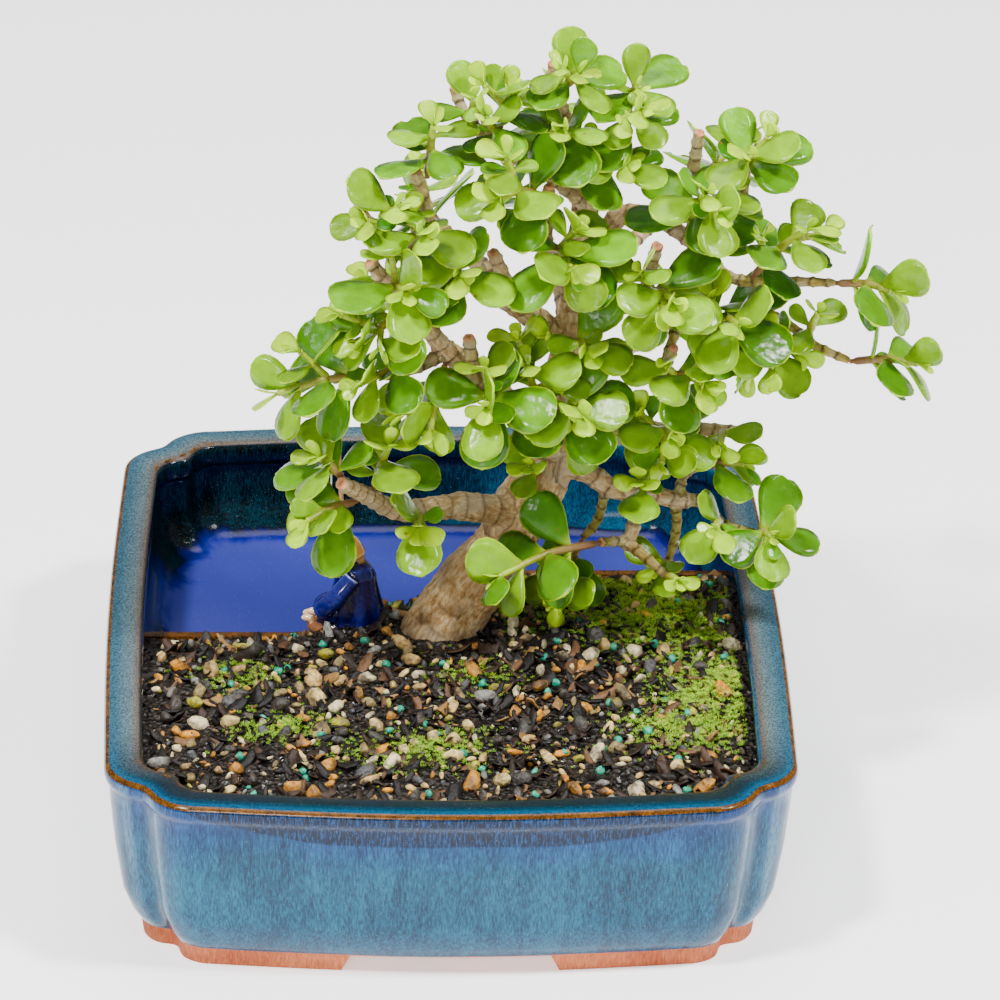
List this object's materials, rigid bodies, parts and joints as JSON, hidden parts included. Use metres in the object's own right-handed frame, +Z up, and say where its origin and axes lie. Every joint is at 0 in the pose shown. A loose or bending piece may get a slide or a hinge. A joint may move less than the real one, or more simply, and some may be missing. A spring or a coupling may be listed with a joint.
{
  "type": "dwarf jade bonsai in a land and water pot",
  "caption": "Dwarf jade tree with a leaning trunk and fleshy leaves in a glazed rectangular pot, divided into planted soil and an empty basin, with a clay fisherman.",
  "frame": {"origin": "on the ground under the middle of the whole object's footprint, crown included; the pot's own middle lies 22 mm to -X of it", "axes": "+Z up, -Y towards the planted short side of the pot that the picture looks at, +X to the viewer's right"},
  "size_m": [0.2477, 0.249, 0.2468],
  "materials": {
    "jun_glaze": "glossy mottled teal blue glaze over stoneware",
    "wet_soil": "wet dark bark mix with pebbles and moss",
    "bark": "dry striated bark with ring scars",
    "leaf_green": "glossy fleshy leaves",
    "cobalt_glaze": "glossy cobalt glaze over tan clay",
    "bamboo": "smooth dry bamboo",
    "white_thread": "plain white thread"
  },
  "bodies": {
    "root": {"pot": "jun_glaze", "soil": "wet_soil", "trunk": "bark", "spray_left_tip": "leaf_green", "spray_low_left_up": "leaf_green", "spray_low_left_side": "leaf_green", "spray_low_left_end": "leaf_green", "spray_low_left_front": "leaf_green", "spray_knot_left": "leaf_green", "spray_twig_low": "leaf_green", "spray_knot_right": "leaf_green", "spray_right_twig": "leaf_green", "spray_low_right_top": "leaf_green", "spray_right_shoot": "leaf_green", "spray_low_right_end": "leaf_green", "spray_low_right_front": "leaf_green", "spray_right_mid": "leaf_green", "spray_right_mid_end": "leaf_green", "spray_front_centre": "leaf_green", "spray_front_left": "leaf_green", "spray_front_low": "leaf_green", "spray_front_upper": "leaf_green", "spray_trunk_middle": "leaf_green", "spray_trunk_low": "leaf_green", "spray_stub_left": "leaf_green", "spray_left_inner": "leaf_green", "spray_left_under": "leaf_green", "spray_upper_left_front": "leaf_green", "spray_upper_left": "leaf_green", "spray_upper_left_end": "leaf_green", "spray_upper_left_top": "leaf_green", "spray_lime_upright": "leaf_green", "spray_front_riser": "leaf_green", "spray_top_left": "leaf_green", "spray_top_left_inner": "leaf_green", "spray_top": "leaf_green", "spray_top_right": "leaf_green", "spray_top_right_front": "leaf_green", "spray_top_front": "leaf_green", "spray_front_inner": "leaf_green", "spray_leader_twig": "leaf_green", "spray_right_riser": "leaf_green", "spray_far_riser": "leaf_green", "spray_far_right": "leaf_green", "spray_red_stub": "leaf_green", "spray_right_front": "leaf_green", "spray_right_stub": "leaf_green", "spray_far_low": "leaf_green", "spray_far_low_inner": "leaf_green", "spray_far_up": "leaf_green", "spray_right_under": "leaf_green", "spray_back_low": "leaf_green", "spray_back_low_left": "leaf_green", "spray_back_mid": "leaf_green", "spray_back_right": "leaf_green", "spray_back_top": "leaf_green", "spray_back_top_left": "leaf_green", "fisherman": "cobalt_glaze", "fishing_rod": "bamboo", "fishing_line": "white_thread"}
  },
  "joints": []
}
